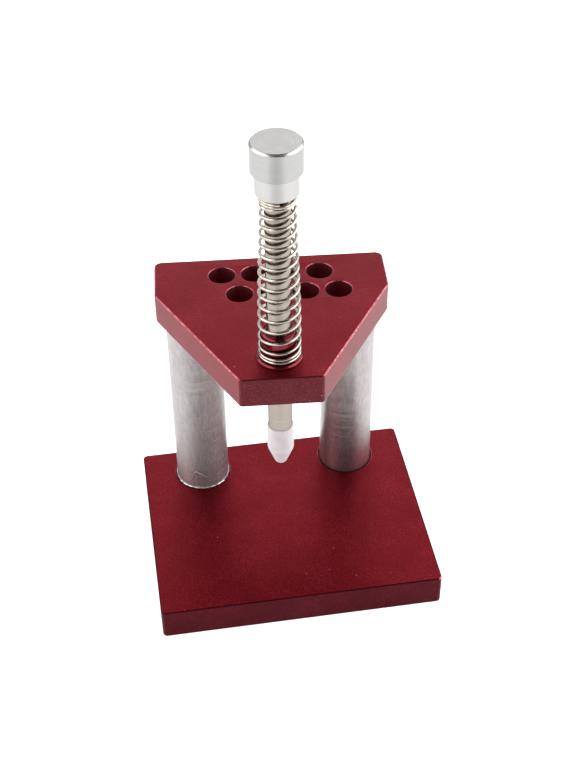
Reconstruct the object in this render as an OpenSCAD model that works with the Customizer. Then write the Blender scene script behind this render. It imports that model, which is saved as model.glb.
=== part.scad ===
// Watch hand press: a small bench press that pushes watch hands on to a movement.
// A sprung plunger with a nylon tip slides in a bush in the upper plate, which two
// pillars carry above the base plate.
// Frame: origin at the middle of the base's underside, +Z up, the open front faces -Y.
// All sizes are in millimetres.

/* [Base plate] */
// Width of the base plate
base_w = 75; // [70:1:90]
// Depth of the base plate, front to back
base_d = 60.5; // [56:0.5:80]
// Thickness of the base plate
base_t = 9.1; // [7:0.1:14]
// Radius of the base plate's upright corners
base_corner = 1.2; // [0.5:0.1:4]
// Depth of the round seats that the pillars stand in
seat_depth = 0.8; // [0.4:0.1:2]
// Gap between a pillar and the wall of its seat
seat_gap = 0.4; // [0.2:0.05:0.8]

/* [Pillars] */
// Diameter of each pillar
pillar_d = 14.6; // [11:0.1:16]
// Distance between the two pillar axes
pillar_pitch = 41.6; // [38:0.2:46]
// How far the pillar axes stand behind the middle of the base
pillar_y = 21.4; // [19:0.1:22.5]
// Clear height between the base plate and the upper plate
clear_h = 57.6; // [55:0.1:75]

/* [Upper plate] */
// Width of the upper plate along its back
top_w = 60.4; // [59:0.2:68]
// Width of the upper plate's narrow front
top_front_w = 20.2; // [18:0.2:30]
// Distance from the pillar line to the upper plate's back
top_back = 9.6; // [9.2:0.1:12]
// Distance from the pillar line to where the slanted sides begin
top_slant_start = 5; // [4:0.5:10]
// Distance from the pillar line to the upper plate's front
top_front = 40.4; // [38.5:0.1:45]
// Thickness of the upper plate
top_t = 8.4; // [8:0.1:12]
// Radius of the upper plate's two back corners
top_back_corner = 2; // [1:0.1:4]
// Radius of the upper plate's other corners
top_corner = 1; // [0.5:0.1:2]
// Turn of the upper plate on its pillars, in degrees, clockwise from above
top_turn = 4.7; // [0:0.1:5]

/* [Storage holes] */
// Diameter of the holes that keep spare tips
store_d = 6.8; // [6.8:0.1:7]
// Depth of the storage holes
store_depth = 6; // [4:0.5:6.4]
// Distance between neighbouring holes in a row
store_pitch = 8.5; // [8.2:0.1:8.8]
// Sideways shift of the front row against the back row
store_stagger = 4.25; // [3.8:0.05:4.5]
// Distance between the two rows
store_row_gap = 8.4; // [8.2:0.1:9]
// How far the back row lies behind the pillar line
store_back = 2.45; // [2:0.05:2.8]

/* [Bush] */
// Distance from the pillar line to the plunger axis
plunger_reach = 31.7; // [30:0.1:34]
// Diameter of the bush above and inside the plate
bush_d = 8.7; // [8.3:0.1:8.8]
// Diameter of the bush's flange, which is the spring's seat
flange_d = 11.6; // [11.4:0.1:13]
// Thickness of the flange
flange_t = 0.8; // [0.6:0.1:1.5]
// Height of the bush above the plate
bush_rise = 7.9; // [5:0.1:10]

/* [Plunger] */
// Diameter of the plunger rod
rod_d = 6.1; // [5.8:0.1:6.2]
// Height of the knob's collar above the plate, with the press at rest
knob_rise = 46.75; // [44:0.25:48]
// Diameter of the knob's head
head_d = 12.12; // [11:0.02:16]
// Height of the knob's head
head_h = 7.2; // [5:0.1:10]
// Diameter of the collar below the head
collar_d = 10.2; // [10:0.1:10.8]
// Height of the collar
collar_h = 5.35; // [4:0.05:8]
// Travel of the plunger
stroke = 29.5; // [20:0.5:29.5]

/* [Nylon tip] */
// Diameter of the tip's straight part
tip_d = 6.7; // [6.4:0.1:6.7]
// Length of the tip's straight part
tip_straight = 7.6; // [6:0.1:9]
// Distance from the plate's underside down to the tip's upper face
tip_drop = 13.7; // [12:0.1:15]
// Half angle of the tip's cone, in degrees
tip_angle = 20.6; // [16:0.2:24]
// Radius of the tip's round nose
nose_r = 1.78; // [1.5:0.02:2]
// Diameter of the bore in the nose, which clears a watch's centre pinion
nose_bore_d = 1; // [0.8:0.1:1.2]

/* [Spring] */
// Diameter of the spring wire
wire_d = 0.8; // [0.7:0.05:0.85]
// Mean radius of the lower, wide coils
coil_r_low = 5; // [4.9:0.05:5.1]
// Mean radius of the upper, narrow coils
coil_r_top = 4.05; // [4:0.05:4.3]
// Turns of wire from end to end
turns = 18.8; // [16:0.1:19]

/* [Hidden] */

// Number of facets that a round shape is drawn with
round_fn = 96;
// Gap between pieces that are fastened together, so that no two solids overlap
fit_gap = 0.02;
// Radial running clearance of the rod in its bush
run_gap = 0.05;

// Heights of the main faces above the base's underside
top_z = base_t + clear_h;
top_face_z = top_z + top_t;
seat_z = base_t - seat_depth;
knob_z = top_face_z + knob_rise;
tip_top_z = top_z - tip_drop;

// The plunger axis, which keeps its place on the turned plate
plunger_x = -plunger_reach * sin(top_turn);
plunger_y = pillar_y - plunger_reach * cos(top_turn);

// M5 fasteners: countersunk screws from below, plain studs above
thread_d = 5;
screw_head_d = 9.6;
screw_head_h = 2.3;
screw_sink = 0.3;
screw_reach = 10;
hex_af = 3;
hex_depth = 1.8;
stud_reach = 6;
hole_spare = 1.5;

// Storage holes: four in each row, with a small bevel round each mouth
store_count = 4;
store_bevel = 0.3;
store_first_x = -(store_count - 1) / 2 * store_pitch + 0.15;

// Bevels on the turned pieces
knob_bevel = 0.6;
bush_bevel = 0.4;
pillar_bevel = 0.3;

// Joints between the rod and what it carries
rod_in_knob = 9;
spigot_d = 3.5;
spigot_h = 5;

// The retaining ring, an E shaped clip in a groove of the rod
clip_d = 9.6;
clip_t = 0.7;
clip_gap = 0.05;
groove_d = 4.6;
clip_slot = 4;
clip_notch_d = 2;
clip_z = top_z - clip_gap - clip_t;

// The spring's helix: closed turns at both ends, pitch easing off towards the top
rings_per_turn = 8;
wire_sides = 6;
// The rings lie a little outside the true coil, as far as the straight stretches between them lie inside
ring_spread = 2 / (1 + cos(180 / rings_per_turn));
closed_pitch = 1.25;
closed_low = 1.1;
closed_top = 1.6;
ramp_turns = 1.1;
pitch_trend = 0.22;
spring_air = 0.1;
start_angle = -56;
taper_z0 = top_face_z + 17;
taper_z1 = top_face_z + 41;
spring_z0 = top_face_z + flange_t + wire_d / 2 + spring_air;
spring_z1 = knob_z - wire_d / 2 - 2 * spring_air;
ring_count = round(turns * rings_per_turn);

// Half angle between two unit vectors
function half_angle(u, v) = acos(u * v) / 2;

function unit(v) = v / norm(v);

// Centre of the arc that rounds corner b, which lies between corners a and c
function arc_centre(a, b, c, r) =
    let (u = unit(a - b), v = unit(c - b))
    b + unit(u + v) * r / sin(half_angle(u, v));

// The two points where that arc leaves the straight sides
function arc_ends(a, b, c, r) =
    let (u = unit(a - b), v = unit(c - b), t = r / tan(half_angle(u, v)))
    [b + u * t, b + v * t];

// A flat plate with the given corners, each rounded by a true arc
module rounded_plate(points, radii, thickness) {
    n = len(points);
    linear_extrude(thickness) {
        polygon([
            for (i = [0 : n - 1])
            each arc_ends(points[(i + n - 1) % n], points[i], points[(i + 1) % n], radii[i])
        ]);
        for (i = [0 : n - 1])
            translate(arc_centre(points[(i + n - 1) % n], points[i], points[(i + 1) % n], radii[i]))
                circle(r = radii[i], $fn = round_fn);
    }
}

// A plain upright cylinder from z0 to z1
module rod_shape(d, z0, z1) {
    translate([0, 0, z0])
        cylinder(d = d, h = z1 - z0, $fn = round_fn);
}

// A cone frustum from z0 to z1
module cone_shape(d0, d1, z0, z1) {
    translate([0, 0, z0])
        cylinder(d1 = d0, d2 = d1, h = z1 - z0, $fn = round_fn);
}

// Places its children on a pillar axis: side is -1 on the left and 1 on the right
module at_pillar(side) {
    translate([side * pillar_pitch / 2, pillar_y, 0])
        children();
}

// Places its children on the plunger axis
module at_plunger() {
    translate([plunger_x, plunger_y, 0])
        children();
}

// Places its children in the turned plate's own frame, with its origin on the pillar line
module at_top_plate() {
    translate([0, pillar_y, 0])
        rotate([0, 0, -top_turn])
            children();
}

// Base plate with pillar seats above and countersunk holes below
module base_plate() {
    corners = [
        [-base_w / 2, -base_d / 2], [base_w / 2, -base_d / 2],
        [base_w / 2, base_d / 2], [-base_w / 2, base_d / 2]
    ];
    color("#7d1f2b")
        difference() {
            rounded_plate(corners, [for (c = corners) base_corner], base_t);
            for (side = [-1, 1])
                at_pillar(side) {
                    rod_shape(pillar_d + 2 * seat_gap, seat_z, base_t + 1);
                    rod_shape(thread_d + 0.5, -1, base_t);
                    cone_shape(screw_head_d + 0.6, thread_d + 0.5, 0, screw_head_h + screw_sink);
                }
        }
}

// One pillar, a plain bar with a tapped hole in each end
module pillar(side) {
    color("#b9b6b4")
        at_pillar(side)
            difference() {
                union() {
                    cone_shape(pillar_d - 2 * pillar_bevel, pillar_d, seat_z, seat_z + pillar_bevel);
                    rod_shape(pillar_d, seat_z + pillar_bevel, top_z - pillar_bevel - fit_gap);
                    cone_shape(pillar_d, pillar_d - 2 * pillar_bevel, top_z - pillar_bevel - fit_gap, top_z - fit_gap);
                }
                rod_shape(thread_d + 2 * fit_gap, seat_z - 1, seat_z + screw_reach + hole_spare);
                rod_shape(thread_d + 2 * fit_gap, top_z - stud_reach - hole_spare, top_z + 1);
            }
}

// Countersunk screw that holds a pillar from below the base
module base_screw(side) {
    color("#8f9194")
        at_pillar(side)
            difference() {
                union() {
                    cone_shape(screw_head_d, thread_d, screw_sink, screw_sink + screw_head_h);
                    rod_shape(thread_d, screw_sink + screw_head_h - 0.1, seat_z + screw_reach);
                }
                translate([0, 0, screw_sink - 1])
                    cylinder(d = hex_af / cos(30), h = hex_depth + 1, $fn = 6);
            }
}

// Stud that joins a pillar to the blind tapped hole in the upper plate
module top_stud(side) {
    color("#8f9194")
        at_pillar(side)
            rod_shape(thread_d, top_z - stud_reach, top_z + stud_reach);
}

// Upper plate: six sides, two rows of storage holes, a bore for the bush
module top_plate() {
    corners = [
        [-top_front_w / 2, -top_front], [top_front_w / 2, -top_front],
        [top_w / 2, -top_slant_start], [top_w / 2, top_back],
        [-top_w / 2, top_back], [-top_w / 2, -top_slant_start]
    ];
    radii = [top_corner, top_corner, top_corner, top_back_corner, top_back_corner, top_corner];
    color("#7d1f2b")
        difference() {
            at_top_plate()
                translate([0, 0, top_z])
                    rounded_plate(corners, radii, top_t);
            at_top_plate()
                for (row = [0, 1], i = [0 : store_count - 1])
                    translate([store_first_x + i * store_pitch + row * store_stagger,
                               store_back - row * store_row_gap, 0]) {
                        rod_shape(store_d, top_face_z - store_depth, top_face_z + 1);
                        cone_shape(store_d, store_d + 4 * store_bevel,
                                   top_face_z - store_bevel, top_face_z + store_bevel);
                    }
            at_plunger()
                rod_shape(bush_d + 2 * fit_gap, top_z - 1, top_face_z + 1);
            for (side = [-1, 1])
                at_pillar(side)
                    rod_shape(thread_d + 2 * fit_gap, top_z - 1, top_z + stud_reach + 0.5);
        }
}

// Flanged bush: it guides the rod, and its boss centres the spring
module guide_bush() {
    color("#8e1a28")
        at_plunger()
            difference() {
                union() {
                    rod_shape(bush_d, top_z, top_face_z + bush_rise - bush_bevel);
                    cone_shape(bush_d, bush_d - 2 * bush_bevel,
                               top_face_z + bush_rise - bush_bevel, top_face_z + bush_rise);
                    rod_shape(flange_d, top_face_z + fit_gap, top_face_z + flange_t - bush_bevel);
                    cone_shape(flange_d, flange_d - 2 * bush_bevel,
                               top_face_z + flange_t - bush_bevel, top_face_z + flange_t);
                }
                rod_shape(rod_d + 2 * run_gap, top_z - 1, top_face_z + bush_rise + 1);
            }
}

// Plunger rod with a clip groove below the plate and a spigot for the tip
module plunger_rod() {
    color("#c9c1b6")
        at_plunger()
            difference() {
                union() {
                    rod_shape(rod_d, tip_top_z, knob_z + rod_in_knob);
                    rod_shape(spigot_d, tip_top_z - spigot_h, tip_top_z + 1);
                }
                difference() {
                    rod_shape(rod_d + 2, clip_z - clip_gap, clip_z + clip_t + clip_gap);
                    rod_shape(groove_d, clip_z - 1, clip_z + clip_t + 1);
                }
            }
}

// Knob that the palm pushes: a wide head over a narrower collar, turned in one piece
module press_knob() {
    head_z = knob_z + collar_h;
    crown_z = head_z + head_h;
    color("#c8c6c4")
        at_plunger()
            difference() {
                union() {
                    rod_shape(collar_d, knob_z, head_z + 1);
                    rod_shape(head_d, head_z, crown_z - knob_bevel);
                    cone_shape(head_d, head_d - 2 * knob_bevel, crown_z - knob_bevel, crown_z);
                }
                rod_shape(rod_d + 2 * fit_gap, knob_z - 1, knob_z + rod_in_knob + fit_gap);
            }
}

// Retaining ring: it meets the bush and stops the spring from lifting the plunger out
module retaining_ring() {
    color("#77787a")
        at_plunger()
            translate([0, 0, clip_z])
                linear_extrude(clip_t)
                    difference() {
                        circle(d = clip_d, $fn = round_fn);
                        circle(d = groove_d + 2 * fit_gap, $fn = round_fn);
                        translate([0, -clip_slot / 2])
                            square([clip_d, clip_slot]);
                        for (side = [-1, 1])
                            translate([groove_d / 4, side * (groove_d / 2 + 0.4)])
                                circle(d = clip_notch_d, $fn = round_fn);
                    }
}

// Nylon tip: it presses the watch hand without marking it
module nylon_tip() {
    cone_z = tip_top_z - tip_straight;
    // The nose is a ball that the cone meets without an edge
    ball_z = cone_z - (tip_d / 2 - nose_r / cos(tip_angle)) / tan(tip_angle);
    meet_z = ball_z - nose_r * sin(tip_angle);
    meet_d = 2 * nose_r * cos(tip_angle);
    color("#e6e1e4")
        at_plunger()
            difference() {
                union() {
                    rod_shape(tip_d, cone_z, tip_top_z - fit_gap);
                    cone_shape(meet_d, tip_d, meet_z, cone_z);
                    translate([0, 0, ball_z])
                        sphere(r = nose_r, $fn = round_fn);
                }
                rod_shape(spigot_d + 2 * fit_gap, tip_top_z - spigot_h - 0.3, tip_top_z + 1);
                rod_shape(nose_bore_d, ball_z - nose_r - 1, ball_z + nose_r);
            }
}

// Share of the full pitch at u turns from the spring's lower end: nothing on the closed ends
function opening(u) =
    min(1, max(0, (u - closed_low) / ramp_turns))
    * min(1, max(0, (turns - closed_top - u) / ramp_turns));

// Weight of the rise at u turns, a little more in the lower half than in the upper
function rise_weight(u) = opening(u) * (1 + pitch_trend * (0.5 - u / turns));

// Running sum of those weights, one entry a ring
rise_sums = [
    for (i = 0, s = 0; i <= ring_count; s = s + rise_weight((i + 0.5) / rings_per_turn), i = i + 1) s
];
rise_total = rise_sums[ring_count];
closed_rise = closed_pitch / rings_per_turn;
active_rise = (spring_z1 - spring_z0 - closed_rise * ring_count) / rise_total;

function wire_z(i) = spring_z0 + closed_rise * i + active_rise * rise_sums[i];

// Mean coil radius at height z: wide below, narrowing towards the knob
function coil_r(z) =
    coil_r_low + (coil_r_top - coil_r_low) * min(1, max(0, (z - taper_z0) / (taper_z1 - taper_z0)));

wire_path = [
    for (i = [0 : ring_count])
    let (a = start_angle + 360 * i / rings_per_turn, z = wire_z(i), r = coil_r(z) * ring_spread)
    [r * cos(a), r * sin(a), z]
];

// Least distance between two stretches of wire a turn apart, less the wire itself
wire_gap = min([
    for (i = [0 : ring_count - rings_per_turn + 2],
         j = [i + rings_per_turn - 2 : min(ring_count, i + rings_per_turn + 2)])
    norm(wire_path[j] - wire_path[i])
]) - wire_d;

// Corner j of the wire's section at ring i
function wire_corner(i, j) =
    let (a = start_angle + 360 * i / rings_per_turn, b = 360 * j / wire_sides)
    wire_path[i] + wire_d / 2 * [cos(b) * cos(a), cos(b) * sin(a), sin(b)];

// Return spring: one unbroken wire, round the bush below and the rod above
module return_spring() {
    echo("least gap of the spring wire to itself", wire_gap);
    echo("height of the spring's first and last ring", wire_z(0), wire_z(ring_count));
    points = [
        for (i = [0 : ring_count], j = [0 : wire_sides - 1]) wire_corner(i, j)
    ];
    walls = [
        for (i = [0 : ring_count - 1], j = [0 : wire_sides - 1])
        let (k = (j + 1) % wire_sides, p = i * wire_sides, q = p + wire_sides)
        each [[p + j, p + k, q + k], [p + j, q + k, q + j]]
    ];
    last = ring_count * wire_sides;
    ends = [
        for (j = [1 : wire_sides - 2])
        each [[0, j + 1, j], [last, last + j, last + j + 1]]
    ];
    color("#cfc6bb")
        at_plunger()
            polyhedron(points, concat(walls, ends), convexity = 10);
}

base_plate();
pillar(-1);  // left_pillar
pillar(1);  // right_pillar
base_screw(-1);  // left_base_screw
base_screw(1);  // right_base_screw
top_stud(-1);  // left_top_stud
top_stud(1);  // right_top_stud
top_plate();
guide_bush();
plunger_rod();
press_knob();
retaining_ring();
nylon_tip();
return_spring();
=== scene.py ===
"""Watch hand press: a sprung plunger with a nylon tip between two red anodised plates."""

import math

import bmesh
import bpy
from mathutils import Matrix, Vector


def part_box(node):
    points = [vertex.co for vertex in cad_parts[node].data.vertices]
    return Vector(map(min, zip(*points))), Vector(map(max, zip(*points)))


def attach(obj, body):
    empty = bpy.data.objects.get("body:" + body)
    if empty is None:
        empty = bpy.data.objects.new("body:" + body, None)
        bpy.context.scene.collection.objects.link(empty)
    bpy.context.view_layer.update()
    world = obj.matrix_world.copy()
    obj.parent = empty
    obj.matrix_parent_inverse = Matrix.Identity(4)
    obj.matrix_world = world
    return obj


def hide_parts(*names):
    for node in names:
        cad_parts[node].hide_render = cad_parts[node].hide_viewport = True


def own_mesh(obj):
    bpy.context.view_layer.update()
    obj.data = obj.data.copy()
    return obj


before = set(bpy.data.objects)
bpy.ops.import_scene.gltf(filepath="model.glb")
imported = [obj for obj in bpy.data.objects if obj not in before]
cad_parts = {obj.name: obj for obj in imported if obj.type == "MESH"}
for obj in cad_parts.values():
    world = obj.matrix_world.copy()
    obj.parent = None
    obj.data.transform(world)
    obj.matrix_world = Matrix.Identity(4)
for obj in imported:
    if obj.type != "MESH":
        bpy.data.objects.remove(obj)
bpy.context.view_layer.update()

# Sizes are in millimetres and angles in degrees until a mesh is finished
METRE = 1000.0
# Vertices closer than this are one
EPS = 1e-4
# Between pieces that touch, so that they never share a face
FIT_GAP = 0.02
# Between pieces that slide or turn on each other
RUN_GAP = 0.05
# Steps in a full turn of a round form
BIG_ROUND = 128
ROUND = 96
SMALL_ROUND = 64
TAPPED_ROUND = 48


def box_mm(node):
    """Lowest and highest corner of a CAD node, in millimetres."""
    low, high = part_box(node)
    return low * METRE, high * METRE


# Places that the CAD nodes give
base_low, base_high = box_mm("base_plate")
plate_low, plate_high = box_mm("top_plate")
left_low, left_high = box_mm("left_pillar")
right_low, right_high = box_mm("right_pillar")
bush_low, bush_high = box_mm("guide_bush")
rod_low, rod_high = box_mm("plunger_rod")
knob_low, knob_high = box_mm("press_knob")
clip_low, clip_high = box_mm("retaining_ring")
tip_low, tip_high = box_mm("nylon_tip")
screw_low, screw_high = box_mm("left_base_screw")

PLUNGER = (rod_low + rod_high) / 2
PILLARS = {
    "left": (left_low + left_high) / 2,
    "right": (right_low + right_high) / 2,
}
PILLAR_R = (left_high.x - left_low.x) / 2
PILLAR_Y = PILLARS["left"].y
PLATE_TOP = plate_high.z
PLATE_UNDER = plate_low.z

# Sizes that the boxes don't show. Most are those of the part's source. The plates' edge rounds and
# side corners, the hole and knob bevels, the collar's drop and the coils are read from the photo

# Base plate, with a seat and a countersunk hole for each pillar
BASE_CORNER = 1.2
SEAT_R = 7.7
SEAT_DEPTH = 0.8
SCREW_HOLE_R = 2.75
SINK_R = 5.1
SINK_DEPTH = 2.6

# Upper plate: its outline is measured from the middle between the pillars
TOP_WIDTH = 60.4
TOP_FRONT_WIDTH = 20.2
TOP_BACK = 9.6
TOP_SLANT_START = 5.0
TOP_FRONT = 40.4
TOP_BACK_CORNER = 2.0
TOP_CORNER = 1.0
TOP_SIDE_CORNER = 2.2
TOP_TURN = 4.7

# Two rows of storage holes in the upper plate
STORE_R = 3.4
STORE_DEPTH = 6.0
STORE_ROWS = 2
STORE_COUNT = 4
STORE_PITCH = 8.5
STORE_FIRST_X = -12.6
STORE_STAGGER = 4.25
STORE_BACK = 2.45
STORE_ROW_GAP = 8.4

# The finish of both plates: the round of their edges and the bevel of their holes
PLATE_EDGE = 0.36
HOLE_LIP = 0.26

# Pillars, with the depths of their tapped holes and of those over them in the upper plate
PILLAR_BEVEL = 0.3
THREAD_R = 2.5
SCREW_THREAD_DEPTH = 11.5
STUD_THREAD_DEPTH = 7.5
PLATE_THREAD_DEPTH = 6.5

# Base screws, with the socket's radius to its corners
HEAD_R = 4.8
HEAD_BEVEL = 0.25
HEAD_RIM = 0.2
HEAD_HEIGHT = 2.3
HEX_R = 1.732
HEX_DEPTH = 1.8
SCREW_END_BEVEL = 0.5

# Bush, and the plunger in it
PLUNGER_REACH = 31.7
BUSH_R = 4.35
BUSH_BEVEL = 0.4
FLANGE_R = 5.8
FLANGE_TOP = PLATE_TOP + 0.8
ROD_R = 3.05
GROOVE_R = 2.3
SPIGOT_R = 1.75

# Knob: its collar reaches a little lower in the photograph than in the CAD
COLLAR_R = 5.1
COLLAR_HEIGHT = 5.35
COLLAR_DROP = 0.4
KNOB_BEVEL = 0.48
KNOB_ROUND = 0.08

# Nylon tip: a straight part, a cone at this angle to the axis, and a ball with a bore
TIP_STRAIGHT = 7.6
TIP_ANGLE = 20.6
NOSE_R = 1.78
NOSE_BORE_R = 0.5
NOSE_STEPS = 8
SPIGOT_END_GAP = 0.3

WIRE_D = 0.8


# Camera: solved from the photograph's straight edges, round holes and outlines

CAMERA_PLACE = Vector((-39.02, -261.88, 283.75))
CAMERA_HEADING = -8.689
CAMERA_PITCH = -40.578
CAMERA_ROLL = -0.574
CAMERA_LENS = 63.73
CAMERA_SENSOR = 36.0


def make_camera():
    """The camera stands close in front of the press and looks down on it."""
    data = bpy.data.cameras.new("camera")
    data.sensor_width = CAMERA_SENSOR
    data.lens = CAMERA_LENS
    data.clip_start = 0.01
    data.clip_end = 20
    camera = bpy.data.objects.new("camera", data)
    bpy.context.scene.collection.objects.link(camera)
    heading = Matrix.Rotation(math.radians(CAMERA_HEADING), 4, "Z")
    pitch = Matrix.Rotation(math.radians(90 + CAMERA_PITCH), 4, "X")
    roll = Matrix.Rotation(math.radians(CAMERA_ROLL), 4, "Z")
    camera.matrix_world = Matrix.Translation(CAMERA_PLACE / METRE) @ heading @ pitch @ roll
    bpy.context.scene.camera = camera


make_camera()


# Materials: codes are the dark, middle and light sRGB hex colours of a pattern, or its dark and
# light ones, and rough is the roughness at the first and at the last of them

def linear(code):
    """The linear RGBA of an sRGB hex colour such as "7d1f2b"."""
    shares = [int(code[i:i + 2], 16) / 255 for i in (0, 2, 4)]
    levels = [c / 12.92 if c <= 0.04045 else ((c + 0.055) / 1.055) ** 2.4 for c in shares]
    return (*levels, 1.0)


def per_mm(size):
    """Texture scale at which one cell of a pattern is that many millimetres wide."""
    return METRE / size


def add(material, kind, settings=None, links=None):
    """Adds a node to a material or a world, with its settings and the outputs it takes in."""
    node = material.node_tree.nodes.new(kind)
    for name, value in (settings or {}).items():
        if isinstance(name, int) or name in node.inputs:
            node.inputs[name].default_value = value
        else:
            setattr(node, name, value)
    for name, output in (links or {}).items():
        material.node_tree.links.new(output, node.inputs[name])
    return node


def start_material(name, **surface):
    """A material with one shader, whose uniform values are given as Socket_Name=value."""
    material = bpy.data.materials.new(name)
    material.use_nodes = True
    shader = material.node_tree.nodes["Principled BSDF"]
    for socket, value in surface.items():
        shader.inputs[socket.replace("_", " ")].default_value = value
    return material, shader


def feed(material, shader, colour, roughness, bump=None):
    """Leads a material's patterns to its shader."""
    links = material.node_tree.links
    links.new(colour, shader.inputs["Base Color"])
    links.new(roughness, shader.inputs["Roughness"])
    if bump:
        links.new(bump.outputs["Normal"], shader.inputs["Normal"])


def colour_steps(material, factor, places, codes):
    """A colour ramp with a hex colour at each place."""
    ramp = add(material, "ShaderNodeValToRGB", links={"Fac": factor})
    while len(ramp.color_ramp.elements) < len(codes):
        ramp.color_ramp.elements.new(0.5)
    for element, place, code in zip(ramp.color_ramp.elements, places, codes):
        element.position = place
        element.color = linear(code)
    return ramp.outputs["Color"]


def value_range(material, factor, span, start, end):
    """Maps a pattern's value from start..end to the span's first..last."""
    settings = {"From Min": start, "From Max": end, "To Min": span[0], "To Max": span[1]}
    return add(material, "ShaderNodeMapRange", settings, {"Value": factor}).outputs["Result"]


def blasted_anodised(name, codes, coat, glancing="ffffff"):
    """Aluminium, bead blasted, anodised and dyed burgundy.
    The blasting leaves a fine even grain that glints, and the dye sits in a clear hard layer."""
    material, shader = start_material(
        name, Metallic=1.0, Coat_Weight=coat, Coat_Roughness=0.25, Coat_IOR=1.6,
        Specular_Tint=linear(glancing),
    )
    place = add(material, "ShaderNodeTexCoord").outputs["Object"]
    # The real grain is about 0.1 mm, and it is drawn at 0.5 mm so that it shows
    grain = add(material, "ShaderNodeTexNoise",
                {"Scale": per_mm(0.5), "Detail": 3.0, "Roughness": 0.7}, {"Vector": place})
    # The dye takes unevenly, in faint patches of about 9 mm
    patches = add(material, "ShaderNodeTexNoise",
                  {"Scale": per_mm(9), "Detail": 4.0, "Roughness": 0.55}, {"Vector": place})
    patch_share = 0.35
    both = add(material, "ShaderNodeMath", {"operation": "MULTIPLY_ADD", 1: patch_share},
               {0: patches.outputs["Fac"], 2: grain.outputs["Fac"]})
    red = colour_steps(material, both.outputs["Value"], (0.45, 0.68, 0.9), codes)
    # Sparse pits of about 0.2 mm, where the blasting cut through to brighter metal: each fades
    # between two shares of its cell, and most cells have none
    pit_core, pit_rim, without = 0.03, 0.10, 0.94
    pits = add(material, "ShaderNodeTexVoronoi", {"Scale": per_mm(1.9)}, {"Vector": place})
    pit = value_range(material, pits.outputs["Distance"], (1.0, 0.0), pit_core, pit_rim)
    chosen = add(material, "ShaderNodeTexWhiteNoise", {}, {"Vector": pits.outputs["Position"]})
    rare = add(material, "ShaderNodeMath", {"operation": "GREATER_THAN", 1: without},
               {0: chosen.outputs["Value"]})
    shown = add(material, "ShaderNodeMath", {"operation": "MULTIPLY"},
                {0: pit, 1: rare.outputs["Value"]})
    colour = add(material, "ShaderNodeMixRGB", {"Color2": linear("c4727e")},
                 {"Fac": shown.outputs["Value"], "Color1": red})
    roughness = value_range(material, grain.outputs["Fac"], (0.34, 0.50), 0.3, 0.7)
    bump = add(material, "ShaderNodeBump", {"Strength": 0.35, "Distance": 0.06 / METRE},
               {"Height": grain.outputs["Fac"]})
    feed(material, shader, colour.outputs["Color"], roughness, bump)
    return material


def anodised_edge():
    """The rounded edges of the plates: smoother than the blasted faces, and lighter, partly where
    the dye is thin and partly as painted highlight.
    A fine wander in the gloss breaks the highlight up, as small nicks do."""
    material, shader = start_material(
        "smooth_red_anodised_edge_and_painted_highlight",
        Metallic=1.0, Coat_Weight=0.3, Coat_Roughness=0.2, Coat_IOR=1.6,
    )
    place = add(material, "ShaderNodeTexCoord").outputs["Object"]
    nicks = add(material, "ShaderNodeTexNoise",
                {"Scale": per_mm(1.1), "Detail": 4.0, "Roughness": 0.65}, {"Vector": place})
    colour = colour_steps(material, nicks.outputs["Fac"],
                          (0.3, 0.5, 0.7), ("6e1c29", "903f4a", "a7636c"))
    roughness = value_range(material, nicks.outputs["Fac"], (0.34, 0.24), 0.3, 0.7)
    feed(material, shader, colour, roughness)
    return material


def turned_pattern(material, centre, ring_mm, wander_mm=0.02):
    """The tool marks of a turned piece: rings on its end faces and bands on its walls.
    Returns the place from its axis, the marks and the finest grooves. Real feed marks are
    0.05 to 0.1 mm apart, and ring_mm is coarser so that some of them show."""
    place = add(material, "ShaderNodeTexCoord").outputs["Object"]
    centred = add(material, "ShaderNodeMapping",
                  {"Location": (-centre.x / METRE, -centre.y / METRE, 0)}, {"Vector": place})
    flat = add(material, "ShaderNodeMapping", {"Scale": (1, 1, 0)},
               {"Vector": centred.outputs["Vector"]})
    reach = add(material, "ShaderNodeVectorMath", {"operation": "LENGTH"},
                {0: flat.outputs["Vector"]})
    parts = add(material, "ShaderNodeSeparateXYZ", {}, {"Vector": centred.outputs["Vector"]})
    along = add(material, "ShaderNodeMath", {"operation": "ADD"},
                {0: reach.outputs["Value"], 1: parts.outputs["Z"]})
    stray = add(material, "ShaderNodeTexNoise", {"Scale": per_mm(6), "Detail": 2.0},
                {"Vector": centred.outputs["Vector"]})
    moved = add(material, "ShaderNodeMath", {"operation": "MULTIPLY_ADD", 1: wander_mm / METRE},
                {0: stray.outputs["Fac"], 2: along.outputs["Value"]})
    marks = add(material, "ShaderNodeTexNoise",
                {"noise_dimensions": "1D", "Scale": per_mm(ring_mm), "Detail": 4.0,
                 "Roughness": 0.65},
                {"W": moved.outputs["Value"]})
    # The finest grooves are too fine to see, and spread the gloss along the axis
    grooves = add(material, "ShaderNodeTexNoise",
                  {"noise_dimensions": "1D", "Scale": per_mm(0.16), "Detail": 2.0},
                  {"W": moved.outputs["Value"]})
    return centred.outputs["Vector"], marks.outputs["Fac"], grooves.outputs["Fac"]


# Bare metal dulls a little towards its outline instead of turning white
GLANCING = "e4e4e4"


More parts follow.
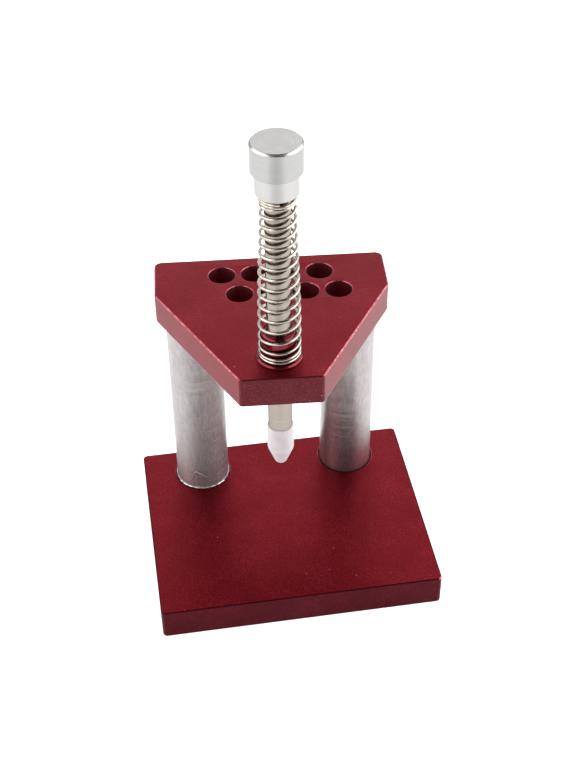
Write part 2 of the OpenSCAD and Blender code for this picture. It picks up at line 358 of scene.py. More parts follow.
def turned_metal(name, ring_mm, codes, rough, groove_mm, **surface):
    """Metal turned about the plunger's axis: its marks and its smudges change its colour and its
    roughness, and its grooves spread the gloss."""
    material, shader = start_material(
        name, Metallic=1.0, Specular_Tint=linear(GLANCING), **surface)
    place, marks, grooves = turned_pattern(material, PLUNGER, ring_mm)
    smudges = add(material, "ShaderNodeTexNoise",
                  {"Scale": per_mm(4), "Detail": 5.0, "Roughness": 0.6}, {"Vector": place})
    smudge_share = 0.6
    both = add(material, "ShaderNodeMath", {"operation": "MULTIPLY_ADD", 1: smudge_share},
               {0: smudges.outputs["Fac"], 2: marks})
    colour = colour_steps(material, both.outputs["Value"], (0.55, 0.8, 1.05), codes)
    roughness = value_range(material, both.outputs["Value"], rough, 0.55, 1.05)
    bump = add(material, "ShaderNodeBump", {"Strength": 1.0, "Distance": groove_mm / METRE},
               {"Height": grooves})
    feed(material, shader, colour, roughness, bump)
    return material


def bar_aluminium(name, centre, codes, rough, metallic, groove_mm):
    """Bare aluminium bar, turned with a fine cut and dulled by handling.
    Fine rings run round it and spread its gloss along it, and faint rub marks run along it."""
    material, shader = start_material(name, Metallic=metallic)
    place, marks, grooves = turned_pattern(material, centre, 0.45, wander_mm=0.15)
    # The rub marks are five times as long as they are wide
    long_way = add(material, "ShaderNodeMapping", {"Scale": (1, 1, 0.2)}, {"Vector": place})
    streaks = add(material, "ShaderNodeTexNoise",
                  {"Scale": per_mm(2.4), "Detail": 3.0, "Roughness": 0.5},
                  {"Vector": long_way.outputs["Vector"]})
    rubs = add(material, "ShaderNodeTexNoise",
               {"Scale": per_mm(0.5), "Detail": 3.0, "Roughness": 0.7},
               {"Vector": long_way.outputs["Vector"]})
    streak_share, ring_share = 0.3, 0.1
    worn = add(material, "ShaderNodeMath", {"operation": "MULTIPLY_ADD", 1: streak_share},
               {0: streaks.outputs["Fac"], 2: rubs.outputs["Fac"]})
    all_marks = add(material, "ShaderNodeMath", {"operation": "MULTIPLY_ADD", 1: ring_share},
                    {0: marks, 2: worn.outputs["Value"]})
    colour = colour_steps(material, all_marks.outputs["Value"], (0.44, 0.7, 0.96), codes)
    roughness = value_range(material, all_marks.outputs["Value"], rough, 0.46, 0.94)
    bump = add(material, "ShaderNodeBump", {"Strength": 1.0, "Distance": groove_mm / METRE},
               {"Height": grooves})
    feed(material, shader, colour, roughness, bump)
    return material


def spring_wire():
    """Bright nickel plated spring wire: drawn smooth, a little warm, with faint dark patches."""
    material, shader = start_material("nickel_plated_spring_wire", Metallic=1.0)
    place = add(material, "ShaderNodeTexCoord").outputs["Object"]
    tarnish = add(material, "ShaderNodeTexNoise",
                  {"Scale": per_mm(1.5), "Detail": 4.0, "Roughness": 0.6}, {"Vector": place})
    colour = colour_steps(material, tarnish.outputs["Fac"],
                          (0.3, 0.55, 0.8), ("857c73", "a79f96", "bcb5ad"))
    roughness = value_range(material, tarnish.outputs["Fac"], (0.24, 0.12), 0.3, 0.8)
    feed(material, shader, colour, roughness)
    return material


def cloudy_metal(name, codes):
    """Metal with an even finish and faint cloudy patches: plated or blackened steel of small
    bought parts, and freshly cut aluminium."""
    material, shader = start_material(name, Metallic=1.0)
    place = add(material, "ShaderNodeTexCoord").outputs["Object"]
    cloud = add(material, "ShaderNodeTexNoise",
                {"Scale": per_mm(1.2), "Detail": 4.0, "Roughness": 0.6}, {"Vector": place})
    colour = colour_steps(material, cloud.outputs["Fac"], (0.3, 0.7), codes)
    roughness = value_range(material, cloud.outputs["Fac"], (0.36, 0.24), 0.3, 0.7)
    bump = add(material, "ShaderNodeBump", {"Strength": 0.2, "Distance": 0.02 / METRE},
               {"Height": cloud.outputs["Fac"]})
    feed(material, shader, colour, roughness, bump)
    return material


def white_nylon():
    """Natural nylon, turned from rod: milky, light passes a little way in, with a soft gloss."""
    material, shader = start_material(
        "turned_white_nylon",
        Metallic=0.0, IOR=1.53, Subsurface_Weight=1.0, Subsurface_Scale=0.002,
        Subsurface_Radius=(1.0, 0.9, 0.9),
    )
    place, marks, _ = turned_pattern(material, PLUNGER, 0.5)
    tint = add(material, "ShaderNodeTexNoise",
               {"Scale": per_mm(3), "Detail": 3.0}, {"Vector": place})
    colour = colour_steps(material, tint.outputs["Fac"], (0.3, 0.7), ("a9a1a4", "b2acaf"))
    roughness = value_range(material, marks, (0.5, 0.62), 0.3, 0.7)
    bump = add(material, "ShaderNodeBump", {"Strength": 0.3, "Distance": 0.02 / METRE},
               {"Height": marks})
    feed(material, shader, colour, roughness, bump)
    return material


RED = blasted_anodised(
    "blasted_red_anodised_aluminium", ("5d0912", "6c101a", "801f2c"), coat=0.04)
# The base's walls and edges take a darker copy of the red: painted shade
RED_WALL_PAINTED_SHADE = blasted_anodised(
    "red_anodised_wall_painted_shade", ("34060e", "3f0911", "50141f"), coat=0.04,
    glancing="f2d4d8")
# The front wall and front edge of the upper plate take a darker, glossier copy of the red:
# the darker red is painted shade
RED_FRONT_PAINTED_SHADE = blasted_anodised(
    "red_anodised_front_painted_shade", ("45080f", "500f17", "681f2a"), coat=0.18)
# The walls of the holes are bored after the blasting, and little light reaches them
RED_BORED = blasted_anodised(
    "bored_red_anodised_aluminium", ("93454a", "994a4e", "9f4f53"), coat=0.1)
# A lighter red for edges and lips: partly thin dye, partly painted highlight
RED_EDGE_WEAR_AND_HIGHLIGHT = anodised_edge()
# The bush is turned and dyed without blasting, so it is glossier than the plates
TURNED_RED = turned_metal(
    "turned_red_anodised_aluminium", ring_mm=0.4, codes=("4a0410", "680d1a", "801d2c"),
    rough=(0.2, 0.32), groove_mm=0.006, Coat_Weight=0.4, Coat_Roughness=0.12)
# The knob's wall has a fine even cut, and is the glossiest of its faces
KNOB_METAL = turned_metal(
    "bright_turned_aluminium", ring_mm=0.5, codes=("9b9b9a", "9d9d9c", "9f9f9e"),
    rough=(0.17, 0.18), groove_mm=0.002)
# Its end face shows the rings that the facing cut left
FACED_METAL = turned_metal(
    "faced_aluminium", ring_mm=0.45, codes=("9b9a98", "a3a2a0", "abaaa8"),
    rough=(0.24, 0.29), groove_mm=0.004)
# Its collar is cut finer still, and looks silkier
COLLAR_METAL = turned_metal(
    "fine_turned_aluminium", ring_mm=0.3, codes=("a7a6a5", "a9a8a7", "abaaa9"),
    rough=(0.24, 0.26), groove_mm=0.002)
# The rod is ground before it is plated: a mirror with a warm tone and no grooves
ROD_METAL = turned_metal(
    "nickel_plated_steel", ring_mm=0.6, codes=("8c847c", "918981", "968e86"),
    rough=(0.16, 0.18), groove_mm=0.0)
# The greys of both bars lean a little pink: a painted reflection of the red plates
# The right bar is a little smoother and more mirror-like than the left one
LEFT_BAR = bar_aluminium(
    "bare_aluminium_left_pillar", PILLARS["left"], ("8d8889", "9c9696", "aba5a5"),
    rough=(0.38, 0.36), metallic=0.85, groove_mm=0.1)
RIGHT_BAR = bar_aluminium(
    "bare_aluminium_right_pillar", PILLARS["right"], ("928c8d", "a09a9a", "aea8a8"),
    rough=(0.35, 0.32), metallic=0.97, groove_mm=0.05)
# Metal torn up at a cut edge glints
BURR_METAL = cloudy_metal("bright_cut_aluminium", ("a8a5a3", "c8c5c2"))
WIRE = spring_wire()
# Zinc plating is a pale, bluish grey, and phosphate leaves a spring clip nearly black
ZINC = cloudy_metal("zinc_plated_steel", ("83868b", "a9acb1"))
CLIP_STEEL = cloudy_metal("phosphated_spring_steel", ("3f4043", "5d5f63"))
NYLON = white_nylon()


# Mesh making

# Edges that turn more than this shade sharp
SHARP_ANGLE = math.radians(47)
# A face's upward share of its normal, past which it is flat or below which it is upright
FLAT = 0.99
UPRIGHT = 0.05


def place_piece(name, mesh, body, replaced):
    """Puts a finished mesh in the scene as a piece that stands for a CAD node."""
    piece = bpy.data.objects.new(name, mesh)
    bpy.context.scene.collection.objects.link(piece)
    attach(piece, body)
    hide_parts(replaced)
    return piece


def finish_piece(name, bm, materials, body, replaced):
    """Turns a bmesh in millimetres into a piece in metres that stands for a CAD node."""
    bmesh.ops.remove_doubles(bm, verts=bm.verts, dist=EPS)
    bmesh.ops.recalc_face_normals(bm, faces=bm.faces)
    for face in bm.faces:
        face.smooth = True
    for edge in bm.edges:
        if len(edge.link_faces) == 2 and edge.calc_face_angle() > SHARP_ANGLE:
            edge.smooth = False
    bm.transform(Matrix.Scale(1 / METRE, 4))
    mesh = bpy.data.meshes.new(name)
    bm.to_mesh(mesh)
    bm.free()
    for material in materials:
        mesh.materials.append(material)
    piece = place_piece(name, mesh, body, replaced)
    # Flat faces keep their own normal, and only the rounded edges shade softly
    flat_faces = piece.modifiers.new("flat_faces", "WEIGHTED_NORMAL")
    flat_faces.weight = 100
    flat_faces.keep_sharp = True


def round_edges(bm, edges, size, segments=3):
    """Rounds edges, from that far to each side of them."""
    bmesh.ops.bevel(bm, geom=edges, offset=size, offset_type="OFFSET", segments=segments,
                    profile=0.5, affect="EDGES", material=-1, clamp_overlap=False)


def ring_edges(bm, centre, r, z):
    """The edges of the ring at that radius and height."""
    def on_ring(v):
        reach = math.hypot(v.co.x - centre.x, v.co.y - centre.y)
        return abs(reach - r) < EPS * 10 and abs(v.co.z - z) < EPS * 10
    return [e for e in bm.edges if on_ring(e.verts[0]) and on_ring(e.verts[1])]


def lathe(bm, centre, profile, closed=False, steps=ROUND):
    """Spins a profile about an upright axis. Its rows are (radius, height), and a third
    number rounds the ring's edge by that much."""
    points = [bm.verts.new((centre.x + row[0], centre.y, row[1])) for row in profile]
    lines = [bm.edges.new(pair) for pair in zip(points, points[1:])]
    if closed:
        lines.append(bm.edges.new((points[-1], points[0])))
    old = set(bm.verts) - set(points)
    bmesh.ops.spin(bm, geom=points + lines, cent=(centre.x, centre.y, 0), axis=(0, 0, 1),
                   angle=2 * math.pi, steps=steps, use_merge=True)
    fresh = [v for v in bm.verts if v not in old]
    bmesh.ops.remove_doubles(bm, verts=fresh, dist=EPS)
    bmesh.ops.recalc_face_normals(bm, faces=bm.faces)
    for r, z, *soft in profile:
        if soft:
            round_edges(bm, ring_edges(bm, centre, r, z), soft[0])


def slab(bm, corners, radii, low, high):
    """A flat plate with rounded upright corners and softened edges, open above and below."""
    face = bm.faces.new([bm.verts.new((x, y, high)) for x, y in corners])
    grown = bmesh.ops.extrude_face_region(bm, geom=[face], use_keep_orig=True)
    lower = [g for g in grown["geom"] if isinstance(g, bmesh.types.BMVert)]
    bmesh.ops.translate(bm, verts=lower, vec=(0, 0, low - high))
    bmesh.ops.recalc_face_normals(bm, faces=bm.faces)
    for i, ((x, y), radius) in enumerate(zip(corners, radii)):
        before = Vector(corners[i - 1]) - Vector((x, y))
        after = Vector(corners[(i + 1) % len(corners)]) - Vector((x, y))
        # The round starts this far from the corner
        reach = radius / math.tan(before.angle(after) / 2)
        upright = [e for e in bm.edges
                   if all(math.hypot(v.co.x - x, v.co.y - y) < EPS for v in e.verts)]
        round_edges(bm, upright, reach, segments=8)
    flat = [f for f in bm.faces if abs(f.normal.z) > FLAT]
    round_edges(bm, list(dict.fromkeys(e for f in flat for e in f.edges)), PLATE_EDGE)
    flat = [f for f in bm.faces if abs(f.normal.z) > FLAT]
    bmesh.ops.delete(bm, geom=flat, context="FACES_ONLY")


def close_level(bm, z, loose_rim=()):
    """Fills the flat face at that height, between its outline and the mouths of its holes.
    A mouth that has no wall yet is given as its loose edges."""
    rims = [e for e in bm.edges if e.is_boundary and all(abs(v.co.z - z) < EPS for v in e.verts)]
    bmesh.ops.triangle_fill(bm, use_beauty=True, use_dissolve=False, edges=[*rims, *loose_rim],
                            normal=(0, 0, 1))


def mark_finish(bm, at_wall, is_third):
    """Gives a plate its four materials: flat faces and outer walls keep the first, rounded edges
    and lips take the second, a lighter red that is partly painted highlight, walls and edges that
    is_third picks by their middle take the third, a darker red of painted shade, and the walls of
    holes the last."""
    bmesh.ops.recalc_face_normals(bm, faces=bm.faces)
    for face in bm.faces:
        middle = face.calc_center_median()
        rise = abs(face.normal.z)
        if rise >= FLAT:
            continue
        if is_third(middle):
            face.material_index = 2
        elif rise >= UPRIGHT:
            face.material_index = 1
        elif not at_wall(middle):
            face.material_index = 3


# The base's outer walls and edges lie past this share of its half width or depth
BORDER_SHARE = 0.96
# How far the base's upper right corners take the lighter edge red, along its sides and down:
# worn thin dye and painted highlight
WEAR_AND_HIGHLIGHT_CORNER = 0.9
WEAR_AND_HIGHLIGHT_DEPTH = 0.5


def make_base_plate():
    """The lower plate, with a seat on it and a countersunk hole under it for each pillar."""
    bm = bmesh.new()
    low, high = base_low, base_high
    corners = [(low.x, low.y), (high.x, low.y), (high.x, high.y), (low.x, high.y)]
    slab(bm, corners, [BASE_CORNER] * 4, low.z, high.z)
    for centre in PILLARS.values():
        lathe(bm, centre, [
            (SEAT_R + HOLE_LIP, high.z), (SEAT_R, high.z - HOLE_LIP),
            (SEAT_R, high.z - SEAT_DEPTH), (SCREW_HOLE_R, high.z - SEAT_DEPTH),
            (SCREW_HOLE_R, SINK_DEPTH), (SINK_R, 0),
        ])
    close_level(bm, high.z)
    close_level(bm, low.z)

    def at_border(spot):
        return max(abs(spot.x) / high.x, abs(spot.y) / high.y) > BORDER_SHARE

    def at_corner(spot):
        return (spot.x > high.x - WEAR_AND_HIGHLIGHT_CORNER and abs(spot.y) > high.y - WEAR_AND_HIGHLIGHT_CORNER
                and spot.z > high.z - WEAR_AND_HIGHLIGHT_DEPTH)

    # The base's walls and edges take the darker red of painted shade, except at its upper right
    # corners
    mark_finish(bm, at_border, lambda spot: at_border(spot) and not at_corner(spot))
    finish_piece("base_plate_dressed", bm, [RED, RED_EDGE_WEAR_AND_HIGHLIGHT, RED_WALL_PAINTED_SHADE, RED_BORED],
                 "frame", "base_plate")


# Upright faces of the upper plate this close to its outline are its outer walls
NEAR_WALL = 0.8


def make_top_plate():
    """The upper plate: six sides, storage holes, the bush's bore and tapped holes beneath.
    It is made straight and then turned about the middle between the pillars."""
    bm = bmesh.new()
    half, front = TOP_WIDTH / 2, TOP_FRONT_WIDTH / 2
    corners = [(-front, -TOP_FRONT), (front, -TOP_FRONT), (half, -TOP_SLANT_START),
               (half, TOP_BACK), (-half, TOP_BACK), (-half, -TOP_SLANT_START)]
    radii = [TOP_CORNER, TOP_CORNER, TOP_SIDE_CORNER, TOP_BACK_CORNER, TOP_BACK_CORNER,
             TOP_SIDE_CORNER]
    slab(bm, corners, radii, PLATE_UNDER, PLATE_TOP)
    for row in range(STORE_ROWS):
        for i in range(STORE_COUNT):
            centre = Vector((STORE_FIRST_X + i * STORE_PITCH + row * STORE_STAGGER,
                             STORE_BACK - row * STORE_ROW_GAP, 0))
            lathe(bm, centre, [
                (STORE_R + HOLE_LIP, PLATE_TOP), (STORE_R, PLATE_TOP - HOLE_LIP),
                (STORE_R, PLATE_TOP - STORE_DEPTH), (0, PLATE_TOP - STORE_DEPTH),
            ], steps=SMALL_ROUND)
    lathe(bm, Vector((0, -PLUNGER_REACH, 0)), [
        (BUSH_R + FIT_GAP, PLATE_TOP), (BUSH_R + FIT_GAP, PLATE_UNDER),
    ])
    turn = math.radians(TOP_TURN)
    floor = PLATE_UNDER + PLATE_THREAD_DEPTH
    for centre in PILLARS.values():
        local = Vector((centre.x * math.cos(turn), centre.x * math.sin(turn), 0))
        lathe(bm, local, [
            (THREAD_R + FIT_GAP, PLATE_UNDER), (THREAD_R + FIT_GAP, floor), (0, floor),
        ], steps=TAPPED_ROUND)
    close_level(bm, PLATE_TOP)
    close_level(bm, PLATE_UNDER)

    def at_wall(spot):
        slant = (spot.y + TOP_FRONT) * (half - front) / (TOP_FRONT - TOP_SLANT_START)
        return (spot.y < NEAR_WALL - TOP_FRONT or spot.y > TOP_BACK - NEAR_WALL
                or abs(spot.x) > min(half, front + slant) - NEAR_WALL)

    # The front wall and front edge take the darker red of painted shade
    mark_finish(bm, at_wall, lambda spot: spot.y < PLATE_EDGE - TOP_FRONT)
    bm.transform(Matrix.Translation((0, PILLAR_Y, 0)) @ Matrix.Rotation(-turn, 4, "Z"))
    finish_piece("top_plate_dressed", bm, [RED, RED_EDGE_WEAR_AND_HIGHLIGHT, RED_FRONT_PAINTED_SHADE, RED_BORED],
                 "frame", "top_plate")


def wire_mesh(name, points, radius, closed=False, resolution=4):
    """A mesh of a round wire through (place in mm, share of the radius) points."""
    curve = bpy.data.curves.new(name, "CURVE")
    curve.dimensions = "3D"
    curve.bevel_depth = radius / METRE
    curve.bevel_resolution = resolution
    curve.use_fill_caps = True
    line = curve.splines.new("POLY")
    line.use_cyclic_u = closed
    line.points.add(len(points) - 1)
    for point, (place, share) in zip(line.points, points):
        point.co = (*(place / METRE), 1)
        point.radius = share
    holder = bpy.data.objects.new(name, curve)
    bpy.context.scene.collection.objects.link(holder)
    bpy.context.view_layer.update()
    mesh = bpy.data.meshes.new_from_object(holder)
    bpy.data.objects.remove(holder)
    return mesh


def add_wire(bm, points, radius, closed=False):
    """Adds a round wire to a bmesh in millimetres, in the piece's second material."""
    mesh = wire_mesh("burr", points, radius, closed, resolution=1)
    mesh.transform(Matrix.Scale(METRE, 4))
    for face in mesh.polygons:
        face.material_index = 1
    bm.from_mesh(mesh)
    bpy.data.meshes.remove(mesh)


# Raised metal on the bars. The burr's wire is partly sunk into the bar, just over the base's
# upper side, and its width and its height wander with different phases
BURR_R = 0.24
BURR_PROUD = 0.3 * BURR_R
BURR_RISE = 0.1
BURR_WAVE = 0.06
BURR_STEP = 2
WIDTH_PHASE = 0.24
WAVE_PHASE = 1.24
SLIVER_R = 0.16
# Each sliver runs through (heading, height above the base, share of its radius) points
LEFT_SLIVERS = [
    [(-121, 2.6, 0.5), (-116, 4.2, 1.0), (-112, 5.9, 0.9), (-109, 6.5, 0.7)],
    [(-110, 6.4, 0.7), (-99, 5.4, 0.6), (-85, 4.0, 0.4)],
    [(-40, 6.0, 0.6), (-38, 6.8, 0.7)],
    [(-42, 8.4, 0.8), (-41, 9.2, 0.5)],
    [(-37, 11.0, 0.6), (-36, 11.7, 0.5)],
]
RIGHT_SLIVERS = [[(-95, -0.4, 0.9), (-94, 0.8, 0.5)]]


def on_bar(centre, angle, z, proud=0.0):
    """The place on a pillar's wall at that heading and height."""
    a = math.radians(angle)
    reach = PILLAR_R + proud
    return Vector((centre.x + reach * math.cos(a), centre.y + reach * math.sin(a), z))


def ragged(angle, phase):
    """An uneven share, from about 0.4 to 1.4, of a burr's size round a pillar."""
    a = math.radians(angle)
    share = 0.9 + 0.2 * math.sin(7 * a + phase) + 0.18 * math.sin(23 * a + 2.3 * phase)
    return share + 0.12 * math.sin(41 * a + 3.1 * phase) * math.sin(3 * a)


def make_pillar(side, metal, has_burr, slivers):
    """A bar with a tapped hole in each end and slivers of raised metal on it. A burr goes round
    it where it enters its seat."""
    centre = PILLARS[side]
    low, high = left_low.z, left_high.z
    bore = THREAD_R + FIT_GAP
    bm = bmesh.new()
    lathe(bm, centre, [
        (0, low + SCREW_THREAD_DEPTH), (bore, low + SCREW_THREAD_DEPTH), (bore, low),
        (PILLAR_R - PILLAR_BEVEL, low), (PILLAR_R, low + PILLAR_BEVEL),
        (PILLAR_R, high - PILLAR_BEVEL), (PILLAR_R - PILLAR_BEVEL, high), (bore, high),
        (bore, high - STUD_THREAD_DEPTH), (0, high - STUD_THREAD_DEPTH),
    ], steps=BIG_ROUND)
    if has_burr:
        lip = []
        for angle in range(0, 360, BURR_STEP):
            z = base_high.z + BURR_RISE + BURR_WAVE * ragged(angle, WAVE_PHASE)
            lip.append((on_bar(centre, angle, z, BURR_PROUD), ragged(angle, WIDTH_PHASE)))
        add_wire(bm, lip, BURR_R, closed=True)
    for line in slivers:
        add_wire(bm, [(on_bar(centre, angle, base_high.z + rise), share)
                      for angle, rise, share in line], SLIVER_R)
    node = side + "_pillar"
    finish_piece(node + "_dressed", bm, [metal, BURR_METAL], "frame", node)


def make_bush():
    """The guide: a bush with a flange on the upper plate and a boss inside the spring."""
    bm = bmesh.new()
    bore = ROD_R + RUN_GAP
    flange_low = PLATE_TOP + FIT_GAP
    lathe(bm, PLUNGER, [
        (bore, bush_low.z, 0.1), (BUSH_R, bush_low.z, 0.1), (BUSH_R, flange_low),
        (FLANGE_R, flange_low), (FLANGE_R, FLANGE_TOP - BUSH_BEVEL, 0.1),
        (FLANGE_R - BUSH_BEVEL, FLANGE_TOP, 0.1), (BUSH_R, FLANGE_TOP),
        (BUSH_R, bush_high.z - BUSH_BEVEL, 0.1), (BUSH_R - BUSH_BEVEL, bush_high.z, 0.1),
        (bore, bush_high.z, 0.1),
    ], closed=True)
    finish_piece("guide_bush_dressed", bm, [TURNED_RED], "frame", "guide_bush")


def make_rod():
    """The rod, with a groove for the retaining ring and a spigot for the tip."""
    bm = bmesh.new()
    groove_low, groove_high = clip_low.z - RUN_GAP, clip_high.z + RUN_GAP
    shoulder = tip_high.z + FIT_GAP
    lathe(bm, PLUNGER, [
        (0, rod_low.z), (SPIGOT_R, rod_low.z, 0.2), (SPIGOT_R, shoulder),
        (ROD_R, shoulder, 0.15), (ROD_R, groove_low, 0.05), (GROOVE_R, groove_low),
        (GROOVE_R, groove_high), (ROD_R, groove_high, 0.05), (ROD_R, rod_high.z, 0.2),
        (0, rod_high.z),
    ])
    finish_piece("plunger_rod_dressed", bm, [ROD_METAL], "plunger",
                 "plunger_rod")


def make_knob():
    """The knob: a head with a narrow chamfer over a collar. Its wall, collar and end face were
    cut with other feeds, so each has its own material."""
    bm = bmesh.new()
    head_r = (knob_high.x - knob_low.x) / 2
    head_low = knob_low.z + COLLAR_HEIGHT
    collar_low = knob_low.z - COLLAR_DROP
    bore = ROD_R + FIT_GAP
    lathe(bm, PLUNGER, [
        (0, rod_high.z + FIT_GAP), (bore, rod_high.z + FIT_GAP), (bore, collar_low, 0.1),
        (COLLAR_R, collar_low, 0.55), (COLLAR_R, head_low), (head_r, head_low, 0.25),
        (head_r, knob_high.z - KNOB_BEVEL, KNOB_ROUND),
        (head_r - KNOB_BEVEL, knob_high.z, KNOB_ROUND), (0, knob_high.z),
    ], steps=BIG_ROUND)
    for face in bm.faces:
        z = face.calc_center_median().z
        if z < head_low - EPS:
            face.material_index = 1
        elif z > knob_high.z - KNOB_BEVEL - KNOB_ROUND / 2:
            face.material_index = 2
    finish_piece("press_knob_dressed", bm, [KNOB_METAL, COLLAR_METAL, FACED_METAL],
                 "plunger", "press_knob")


def make_tip():
    """The nylon tip: a sleeve on the rod's spigot, a cone and a bored round nose."""
    bm = bmesh.new()
    tip_r = (tip_high.x - tip_low.x) / 2
    slope = math.radians(TIP_ANGLE)
    cone_top = tip_high.z + FIT_GAP - TIP_STRAIGHT
    ball = cone_top - (tip_r - NOSE_R / math.cos(slope)) / math.tan(slope)
    first = math.asin(NOSE_BORE_R / NOSE_R)
    last = math.pi / 2 - slope
    nose = []
    for i in range(NOSE_STEPS + 1):
        a = first + (last - first) * i / NOSE_STEPS
        nose.append((NOSE_R * math.sin(a), ball - NOSE_R * math.cos(a)))
    socket_r = SPIGOT_R + FIT_GAP
    socket_floor = rod_low.z - SPIGOT_END_GAP
    lathe(bm, PLUNGER, [
        (0, ball + NOSE_R), (NOSE_BORE_R, ball + NOSE_R), *nose,
        (tip_r, cone_top, 0.5), (tip_r, tip_high.z, 0.3), (socket_r, tip_high.z, 0.1),
        (socket_r, socket_floor), (0, socket_floor),
    ])
    finish_piece("nylon_tip_dressed", bm, [NYLON], "plunger", "nylon_tip")


def make_base_screw(side):
    """A countersunk screw with a hexagon socket, its head down, under a pillar."""
    centre = PILLARS[side]
    bm = bmesh.new()
    low, high = screw_low.z, screw_high.z
    lathe(bm, centre, [
        (HEAD_R - HEAD_BEVEL, low), (HEAD_R, low + HEAD_RIM), (THREAD_R, low + HEAD_HEIGHT),
        (THREAD_R, high - SCREW_END_BEVEL), (THREAD_R - SCREW_END_BEVEL, high), (0, high),
    ], steps=SMALL_ROUND)
    mouth = bmesh.ops.create_circle(bm, cap_ends=False, segments=6, radius=HEX_R,
                                    matrix=Matrix.Translation((centre.x, centre.y, low)))
    rim = list(dict.fromkeys(e for v in mouth["verts"] for e in v.link_edges))
    close_level(bm, low, rim)
    grown = bmesh.ops.extrude_edge_only(bm, edges=rim)["geom"]
    bmesh.ops.translate(bm, verts=[g for g in grown if isinstance(g, bmesh.types.BMVert)],
                        vec=(0, 0, HEX_DEPTH))
    bmesh.ops.contextual_create(bm, geom=[g for g in grown if isinstance(g, bmesh.types.BMEdge)])
    node = side + "_base_screw"
    finish_piece(node + "_dressed", bm, [ZINC], "frame", node)


# Return spring: one wire, wound from its cut end on the flange up to the knob's collar

SPRING_START = -56.0
SPRING_TURNS = 18.9
POINTS_PER_TURN = 40
# Heights at which the wire passes its front, one a turn; the first is before its cut end
PASS_HEIGHTS = [
    76.2, 76.52, 77.45, 79.35, 82.35, 85.7, 88.85, 91.95, 94.9, 97.75, 100.65, 103.45, 106.25,
    108.95, 111.5, 114.15, 116.8, 119.15, 119.85, 120.6, 121.2,
]
# The turn, from the cut end, at which the second of these is passed
FIRST_PASS = 0.881
# (height, coil radius): wide on the boss, narrower above
COIL_RADII = [(74.0, 4.9), (86.0, 4.88), (92.0, 4.78), (103.0, 4.38), (116.0, 3.95), (124.0, 3.95)]
# The coils hang a little to the right of the rod
COIL_LEAN = 0.12


def along_list(rows, x):
    """Straight-line value at x in rows of (place, value)."""
    for (x0, y0), (x1, y1) in zip(rows, rows[1:]):
        if x <= x1:
            return y0 + (y1 - y0) * (x - x0) / (x1 - x0)
    return rows[-1][1]


def wire_height(turn):
    """Height of the wire at a turn: a smooth line through the heights of its passes."""
    last = len(PASS_HEIGHTS) - 1
    spot = turn - FIRST_PASS + 1
    i = min(max(int(spot), 0), last - 1)
    h = [PASS_HEIGHTS[min(max(j, 0), last)] for j in range(i - 1, i + 3)]
    x = spot - i
    slope0, slope1 = (h[2] - h[0]) / 2, (h[3] - h[1]) / 2
    rise = h[2] - h[1]
    curved = slope0 * x + (3 * rise - 2 * slope0 - slope1) * x ** 2
    return h[1] + curved + (slope0 + slope1 - 2 * rise) * x ** 3


def make_spring():
    """The spring, from its cut end on the bush's flange up to the knob's collar.
    The real one flattens on to the flange as the plunger goes down.
    """
    top = knob_low.z - COLLAR_DROP
    low = FLANGE_TOP + WIRE_D / 2
    high = top - WIRE_D / 2 - FIT_GAP
    axis = Vector((PLUNGER.x, PLUNGER.y, 0))
    points = []
    for i in range(round(SPRING_TURNS * POINTS_PER_TURN) + 1):
        turn = i / POINTS_PER_TURN
        a = math.radians(SPRING_START + 360 * turn)
        z = min(high, max(low, wire_height(turn)))
        r = along_list(COIL_RADII, z)
        points.append((axis + Vector((COIL_LEAN + r * math.cos(a), r * math.sin(a), z)), 1))
    mesh = wire_mesh("return_spring_dressed", points, WIRE_D / 2)
    mesh.materials.clear()
    mesh.materials.append(WIRE)
    mesh.shade_smooth()
    piece = place_piece("return_spring_dressed", mesh, "frame", "return_spring")
    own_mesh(piece)


make_base_plate()
make_top_plate()
make_pillar("left", LEFT_BAR, True, LEFT_SLIVERS)
make_pillar("right", RIGHT_BAR, False, RIGHT_SLIVERS)
make_bush()
make_rod()
make_knob()
make_tip()
make_base_screw("left")
make_base_screw("right")
make_spring()

# Hidden or plain bought parts keep their CAD shape
for node, metal in (("left_top_stud", ZINC), ("right_top_stud", ZINC),
                    ("retaining_ring", CLIP_STEEL)):
    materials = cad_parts[node].data.materials
    materials.clear()
    materials.append(metal)


# Stage: a white light table and soft light from both sides and from behind. Sizes are in metres

TABLE_HALF = 4
# A painted shadow turns the table's glow down in a patch in front of the press, outside the
# picture, where a dark screen high in front would shade it
TABLE_GLOW = 0.66
PAINTED_SHADOW_GLOW = 0.06
PAINTED_SHADOW_SPOT = (-0.03, -0.19, 0.0)
PAINTED_SHADOW_REACH = (0.04, 0.15)


def make_stage():
    """The light table that the press stands on, with a painted shadow in its glow."""
    bm = bmesh.new()
    bmesh.ops.create_grid(bm, x_segments=1, y_segments=1, size=TABLE_HALF)
    mesh = bpy.data.meshes.new("floor")
    bm.to_mesh(mesh)
    bm.free()
    floor = bpy.data.objects.new("floor", mesh)
    bpy.context.scene.collection.objects.link(floor)
    material, shader = start_material(
        "white_light_table", Roughness=0.7, Specular_IOR_Level=0.0,
        Base_Color=linear("e6e6e6"), Emission_Color=linear("ffffff"),
    )
    place = add(material, "ShaderNodeTexCoord").outputs["Object"]
    away = add(material, "ShaderNodeVectorMath", {"operation": "DISTANCE", 1: PAINTED_SHADOW_SPOT},
               {0: place})
    glow = add(material, "ShaderNodeMapRange",
               {"interpolation_type": "SMOOTHSTEP", "From Min": PAINTED_SHADOW_REACH[0],
                "From Max": PAINTED_SHADOW_REACH[1], "To Min": PAINTED_SHADOW_GLOW, "To Max": TABLE_GLOW},
               {"Value": away.outputs["Value"]})
    material.node_tree.links.new(glow.outputs["Result"], shader.inputs["Emission Strength"])
    mesh.materials.append(material)


# The room's light near the horizon and above, and the height at which it has fallen
HORIZON = 1.15
ROOM = 0.52
ROOM_HEIGHT = 0.5
# Towards the dark screen the room keeps only this share of its light. The cosines are those of
# the angles from the screen's middle at which the dark begins and is full
DARK_SIDE = (0.0, -0.64, 0.77)
DARK_SHARE = 0.36
DARK_COSINES = (0.74, 0.9)
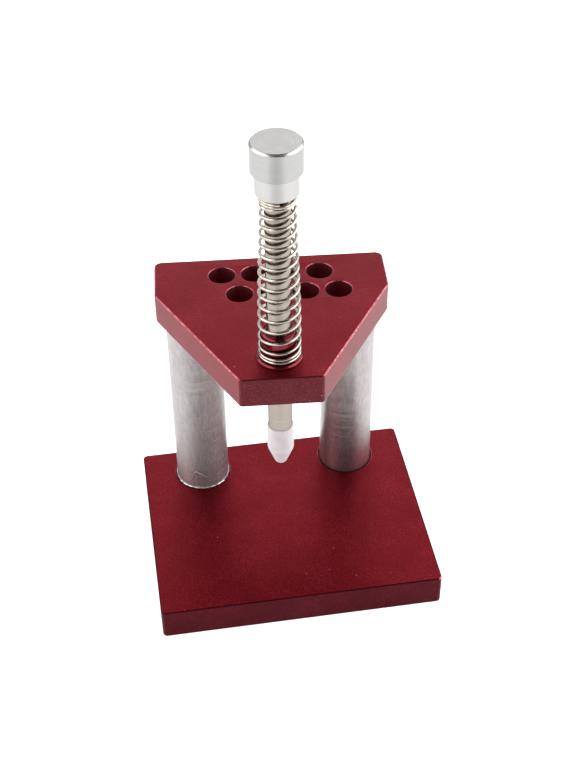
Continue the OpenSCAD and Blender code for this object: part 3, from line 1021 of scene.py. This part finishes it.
# Each softbox: place, the spot it faces, width, height and power in watts
SOFTBOXES = {
    "left_softbox": ((-0.8, -0.1, 0.54), (0, -0.05, 0.1), 1.45, 1.05, 13.5),
    "right_softbox": ((0.8, -0.1, 0.54), (0, -0.05, 0.1), 1.45, 1.05, 16),
    "back_softbox": ((0.0, 0.9, 0.8), (0, 0, 0.05), 1.4, 0.7, 4),
}


def soft_light(name, place, aim, width, height, power):
    """A rectangular softbox."""
    data = bpy.data.lights.new(name, "AREA")
    data.shape = "RECTANGLE"
    data.size = width
    data.size_y = height
    data.energy = power
    light = bpy.data.objects.new(name, data)
    bpy.context.scene.collection.objects.link(light)
    light.location = place
    light.rotation_mode = "QUATERNION"
    light.rotation_quaternion = (Vector(aim) - Vector(place)).to_track_quat("-Z", "Y")


def make_light():
    """A pale room, brighter low down, with one dark screen high in front of the press."""
    world = bpy.data.worlds.new("studio")
    bpy.context.scene.world = world
    world.use_nodes = True
    room = world.node_tree.nodes["Background"]
    room.inputs["Color"].default_value = linear("f2f2f2")
    # A world's Generated output is the direction from the scene
    heading = add(world, "ShaderNodeTexCoord").outputs["Generated"]
    facing = add(world, "ShaderNodeVectorMath", {"operation": "DOT_PRODUCT", 1: DARK_SIDE},
                 {0: heading})
    height = add(world, "ShaderNodeSeparateXYZ", {}, {"Vector": heading}).outputs["Z"]
    level = add(world, "ShaderNodeMapRange",
                {"interpolation_type": "SMOOTHSTEP", "From Min": 0.0, "From Max": ROOM_HEIGHT,
                 "To Min": HORIZON, "To Max": ROOM}, {"Value": height})
    dark = add(world, "ShaderNodeMapRange",
               {"interpolation_type": "SMOOTHSTEP", "From Min": DARK_COSINES[0],
                "From Max": DARK_COSINES[1], "To Min": 1.0, "To Max": DARK_SHARE},
               {"Value": facing.outputs["Value"]})
    strength = add(world, "ShaderNodeMath", {"operation": "MULTIPLY"},
                   {0: level.outputs["Result"], 1: dark.outputs["Result"]})
    world.node_tree.links.new(strength.outputs["Value"], room.inputs["Strength"])
    for name, settings in SOFTBOXES.items():
        soft_light(name, *settings)


make_stage()
make_light()
bpy.context.scene.view_settings.view_transform = "Standard"
